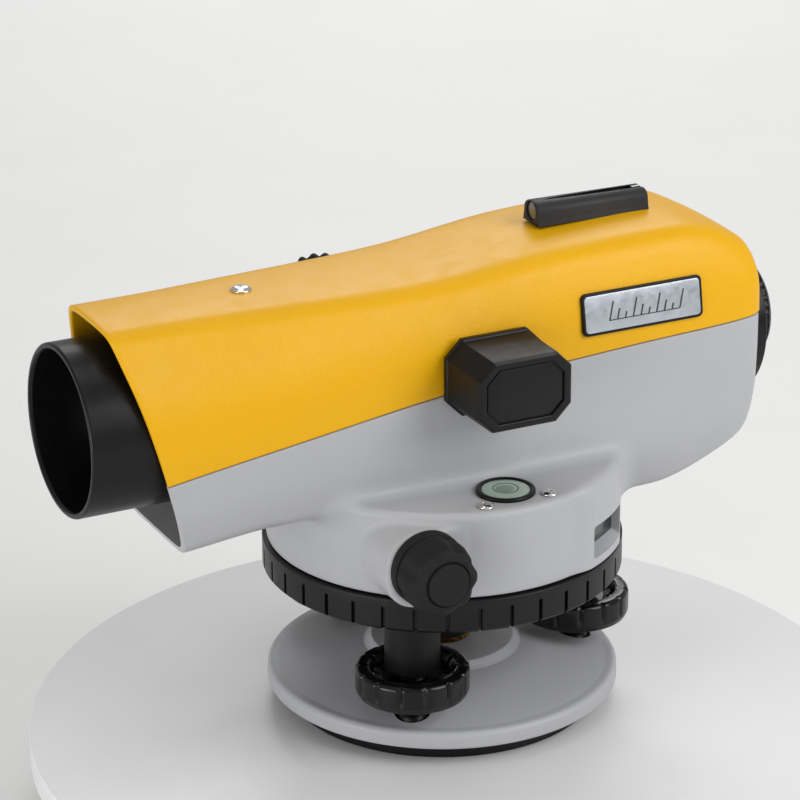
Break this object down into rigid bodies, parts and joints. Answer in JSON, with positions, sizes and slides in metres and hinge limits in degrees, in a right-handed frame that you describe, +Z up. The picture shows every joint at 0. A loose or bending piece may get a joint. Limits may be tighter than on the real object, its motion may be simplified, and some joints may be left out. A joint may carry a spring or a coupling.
{
  "type": "automatic level",
  "caption": "Surveying level with a yellow telescope cover over a grey turning housing, objective tube, side viewing prism over a round vial, and a levelling base.",
  "frame": {"origin": "centre of the tripod screw socket at the underside of the base", "axes": "+X along the line of sight towards the objective, +Y to the observer's left, +Z up"},
  "size_m": [0.2148, 0.124, 0.1454],
  "materials": {
    "yellow_paint": "fine-grained semi-gloss powder coat",
    "grey_paint": "satin light grey enamel",
    "black_satin": "satin black",
    "black_plastic": "matte moulded black",
    "rubber": "matte moulded rubber",
    "gloss_black": "glossy moulded black",
    "steel": "turned",
    "chrome": "bright plated",
    "brass": "turned",
    "aluminium": "machined",
    "plate_silver": "satin silver plate",
    "lens": "polished"
  },
  "bodies": {
    "base": {"base_plate": "grey_paint", "base_ring": "black_satin", "tripod_bush": "brass", "spring_plate": "steel"},
    "ball_foot_1": {"ball_foot_1": "steel"},
    "tribrach": {"tribrach": "black_satin", "spindle": "steel", "clutch_nut": "steel"},
    "foot_knob_1": {"foot_knob_1": "gloss_black", "foot_screw_1": "steel"},
    "ball_foot_2": {"ball_foot_2": "steel"},
    "foot_knob_2": {"foot_knob_2": "gloss_black", "foot_screw_2": "steel"},
    "ball_foot_3": {"ball_foot_3": "steel"},
    "foot_knob_3": {"foot_knob_3": "gloss_black", "foot_screw_3": "steel"},
    "circle_ring": {"circle_ring": "black_plastic"},
    "worm_wheel": {"worm_wheel": "brass", "clutch_spring": "steel"},
    "telescope": {"housing": "grey_paint", "top_cover": "yellow_paint", "cover_screw": "chrome", "bearing_sleeve": "brass", "index_window": "lens", "objective_tube": "black_satin", "objective_cell": "black_satin", "objective_lens": "lens", "main_barrel": "black_satin", "compensator_frame": "aluminium", "reticle_holder": "black_satin", "reticle": "lens", "eyepiece_tube": "black_satin", "sight_body": "black_plastic", "sight_window": "lens", "sight_lens": "lens", "vial_cup": "black_plastic", "vial_glass": "lens", "vial_screw_1": "chrome", "vial_screw_2": "chrome", "prism_housing": "black_plastic", "viewing_prism": "lens", "nameplate": "plate_silver"},
    "drive": {"drive_shaft": "steel", "drive_knob_left": "rubber", "drive_knob_right": "rubber"},
    "focus_knob": {"focus_knob": "rubber", "focus_shaft": "steel"},
    "focus_cell": {"focus_cell": "black_satin", "focus_lens": "lens"},
    "pendulum": {"pendulum": "brass", "pendulum_prism": "lens", "suspension_wire_1": "steel", "suspension_wire_2": "steel"},
    "eyepiece_ring": {"eyepiece_ring": "black_plastic"},
    "eyepiece_cell": {"eyepiece_cell": "aluminium", "eyepiece_lens": "lens"}
  },
  "joints": [
    {"name": "tilt_a", "type": "hinge", "parent": "base", "child": "ball_foot_1", "pos_m": [0.02549, 0.03147, 0.0096], "axis": [-0.9336, -0.3584, 0], "range_deg": [-1.2, 1.2]},
    {"name": "tilt_b", "type": "hinge", "parent": "ball_foot_1", "child": "tribrach", "pos_m": [0.02549, 0.03147, 0.0096], "axis": [-0.1564, -0.9877, 0], "range_deg": [-1.2, 1.2]},
    {"name": "foot_2_lift", "type": "slide", "parent": "tribrach", "child": "ball_foot_2", "axis": [0, 0, 1], "range_m": [-0.00128, 0.00128]},
    {"name": "foot_3_lift", "type": "slide", "parent": "tribrach", "child": "ball_foot_3", "axis": [0, 0, 1], "range_m": [-0.00128, 0.00128]},
    {"name": "foot_knob_1_turn", "type": "hinge", "parent": "tribrach", "child": "foot_knob_1", "pos_m": [0.02549, 0.03147, 0.02], "axis": [0, 0, 1], "continuous": true},
    {"name": "foot_knob_2_turn", "type": "hinge", "parent": "ball_foot_2", "child": "foot_knob_2", "pos_m": [-0.04, 0.00634, 0.02], "axis": [0, 0, 1], "continuous": true},
    {"name": "foot_knob_3_turn", "type": "hinge", "parent": "ball_foot_3", "child": "foot_knob_3", "pos_m": [0.01451, -0.03781, 0.02], "axis": [0, 0, 1], "continuous": true},
    {"name": "circle_turn", "type": "hinge", "parent": "tribrach", "child": "circle_ring", "pos_m": [0, 0, 0.046], "axis": [0, 0, 1], "continuous": true},
    {"name": "coarse_turn", "type": "hinge", "parent": "tribrach", "child": "worm_wheel", "pos_m": [0, 0, 0.064], "axis": [0, 0, 1], "continuous": true},
    {"name": "fine_turn", "type": "hinge", "parent": "worm_wheel", "child": "telescope", "pos_m": [0, 0, 0.064], "axis": [0, 0, 1], "continuous": true},
    {"name": "drive_turn", "type": "hinge", "parent": "telescope", "child": "drive", "pos_m": [0.0296, 0, 0.064], "axis": [0, 1, 0], "continuous": true},
    {"name": "focus_turn", "type": "hinge", "parent": "telescope", "child": "focus_knob", "pos_m": [0.0206, 0, 0.1098], "axis": [0, 1, 0], "range_deg": [-143, 178]},
    {"name": "focus_slide", "type": "slide", "parent": "telescope", "child": "focus_cell", "axis": [1, 0, 0], "range_m": [-0.00996, 0.008]},
    {"name": "pendulum_swing", "type": "hinge", "parent": "telescope", "child": "pendulum", "pos_m": [-0.033, 0, 0.1178], "axis": [0, 1, 0], "range_deg": [-0.25, 0.25]},
    {"name": "eyepiece_turn", "type": "hinge", "parent": "telescope", "child": "eyepiece_ring", "pos_m": [-0.093, 0, 0.1019], "axis": [1, 0, 0], "range_deg": [-150, 150]},
    {"name": "eyepiece_slide", "type": "slide", "parent": "telescope", "child": "eyepiece_cell", "axis": [1, 0, 0], "range_m": [-0.0017, 0.0017]}
  ],
  "couplings": [
    {"joint": "foot_2_lift", "follows": "tilt_b", "m_per_rad": 0.06075},
    {"joint": "foot_3_lift", "follows": "tilt_a", "m_per_rad": -0.06075},
    {"joint": "drive_turn", "follows": "fine_turn", "ratio": 60},
    {"joint": "focus_slide", "follows": "focus_turn", "m_per_rad": -0.0032},
    {"joint": "eyepiece_slide", "follows": "eyepiece_turn", "m_per_rad": 0.000637}
  ]
}
